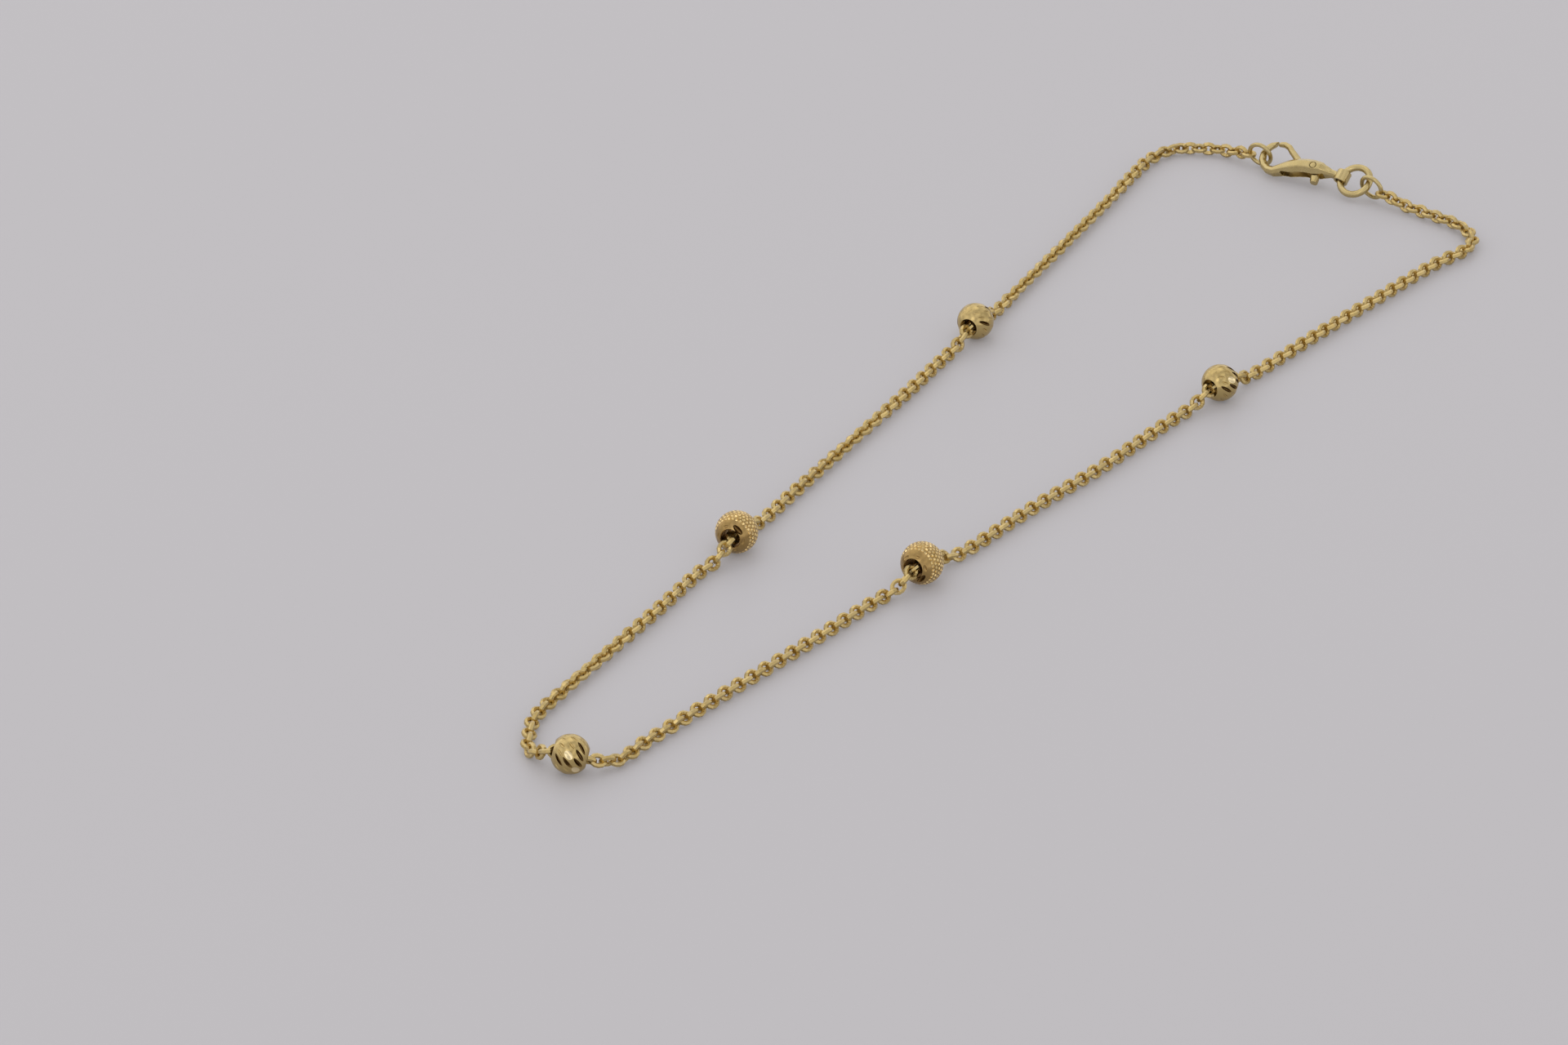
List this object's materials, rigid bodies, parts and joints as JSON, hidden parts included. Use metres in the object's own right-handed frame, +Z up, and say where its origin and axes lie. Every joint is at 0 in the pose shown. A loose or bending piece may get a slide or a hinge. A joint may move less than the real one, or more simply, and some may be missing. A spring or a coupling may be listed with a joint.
{
  "type": "chain anklet",
  "caption": "Fine gold rolo-chain anklet threaded with round diamond-cut beads and closed by a small lobster clasp, lying flat as one long open loop.",
  "frame": {"origin": "the centre of the loop's box, on the surface that it lies on", "axes": "+Y along the loop towards the clasp, +Z up from the surface, +X to the right-hand run seen from above"},
  "size_m": [0.0308, 0.1138, 0.0032],
  "materials": {
    "chain_gold": "diamond-cut yellow gold",
    "bead_gold": "polished and diamond-cut yellow gold",
    "clasp_gold": "polished yellow gold"
  },
  "bodies": {
    "anklet": {"chain": "chain_gold", "front_bead": "bead_gold", "left_near_bead": "bead_gold", "left_far_bead": "bead_gold", "right_far_bead": "bead_gold", "right_near_bead": "bead_gold", "clasp_body": "clasp_gold", "clasp_rivet": "clasp_gold", "jump_ring": "clasp_gold", "claw_end_ring": "clasp_gold", "jump_end_ring": "clasp_gold"},
    "lever": {"clasp_lever": "clasp_gold"}
  },
  "joints": [
    {"name": "clasp_lever_hinge", "type": "hinge", "parent": "anklet", "child": "lever", "pos_m": [-0.00178, 0.05542, 0.00137], "axis": [-0.021, -0.6014, 0.7986], "range_deg": [0, 10], "stiffness_Nm_per_rad": 0.006, "springref_deg": -11.46}
  ]
}
